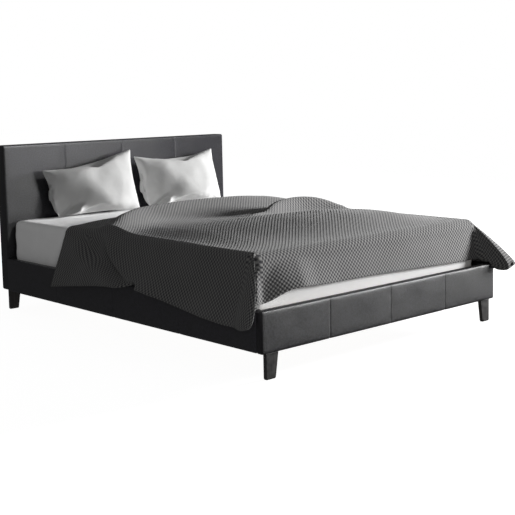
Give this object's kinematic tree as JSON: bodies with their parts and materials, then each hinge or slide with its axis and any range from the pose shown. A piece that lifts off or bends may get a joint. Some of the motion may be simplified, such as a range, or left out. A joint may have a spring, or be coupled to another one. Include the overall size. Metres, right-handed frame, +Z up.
{
  "type": "upholstered platform bed",
  "caption": "Low double bed with a flat leather-covered headboard and rails, tapered wooden legs, slatted base, mattress, pillows and a draped coverlet.",
  "frame": {"origin": "centre of the whole bed on the floor, half way between the headboard's back and the coverlet's front corner tips", "axes": "+Z up, +Y from the foot to the headboard, +X to the right seen from the foot"},
  "size_m": [1.72, 2.236, 0.93],
  "materials": {
    "leather": "semi-gloss fine grain charcoal leather",
    "dark_wood": "black stained, satin",
    "board": "raw board",
    "pine": "planed, unfinished",
    "foam": "soft foam",
    "lining": "black non-woven cloth",
    "steel": "zinc plated",
    "plastic": "matte",
    "webbing": "woven strap",
    "sheet": "white woven cotton",
    "pillow_cotton": "off-white woven cotton",
    "coverlet_knit": "charcoal textured knit"
  },
  "bodies": {
    "bed_frame": {"headboard_cover": "leather", "headboard_foam": "foam", "headboard_panel": "board", "headboard_bottom_batten": "pine", "headboard_top_batten": "pine", "headboard_post_left": "pine", "headboard_post_right": "pine", "headboard_lining": "lining", "side_rail_cover_left": "leather", "side_rail_cover_right": "leather", "side_rail_board_left": "board", "side_rail_board_right": "board", "slat_ledge_left": "pine", "slat_ledge_right": "pine", "foot_rail_cover": "leather", "foot_rail_board": "board", "foot_bracket_left": "steel", "foot_bracket_right": "steel", "foot_bolt_left": "steel", "foot_bolt_right": "steel", "head_bracket_left": "steel", "head_bracket_right": "steel", "head_bolt_left": "steel", "head_bolt_right": "steel", "leg_front_left": "dark_wood", "leg_front_right": "dark_wood", "leg_rear_left": "dark_wood", "leg_rear_right": "dark_wood", "leg_stud_front_left": "steel", "leg_stud_front_right": "steel", "leg_stud_rear_left": "steel", "leg_stud_rear_right": "steel", "leg_glide_front_left": "plastic", "leg_glide_front_right": "plastic", "leg_glide_rear_left": "plastic", "leg_glide_rear_right": "plastic", "centre_rail": "pine", "centre_hanger_foot": "steel", "centre_hanger_head": "steel", "centre_leg_1": "pine", "centre_leg_2": "pine", "slat_01": "pine", "slat_02": "pine", "slat_03": "pine", "slat_04": "pine", "slat_05": "pine", "slat_06": "pine", "slat_07": "pine", "slat_08": "pine", "slat_09": "pine", "slat_10": "pine", "slat_11": "pine", "slat_12": "pine", "slat_strap_left": "webbing", "slat_strap_right": "webbing"},
    "mattress": {"mattress": "sheet"},
    "coverlet": {"coverlet": "coverlet_knit"},
    "pillow_left": {"pillow_left": "pillow_cotton"},
    "pillow_right": {"pillow_right": "pillow_cotton"}
  },
  "joints": [
    {"name": "mattress_lift", "type": "slide", "parent": "bed_frame", "child": "mattress", "axis": [0, 0, 1], "range_m": [0, 0.25]},
    {"name": "coverlet_lift", "type": "slide", "parent": "mattress", "child": "coverlet", "axis": [0, 0, 1], "range_m": [0, 0.35]},
    {"name": "pillow_left_lift", "type": "slide", "parent": "mattress", "child": "pillow_left", "axis": [0, 0, 1], "range_m": [0, 0.3]},
    {"name": "pillow_right_lift", "type": "slide", "parent": "mattress", "child": "pillow_right", "axis": [0, 0, 1], "range_m": [0, 0.3]}
  ]
}
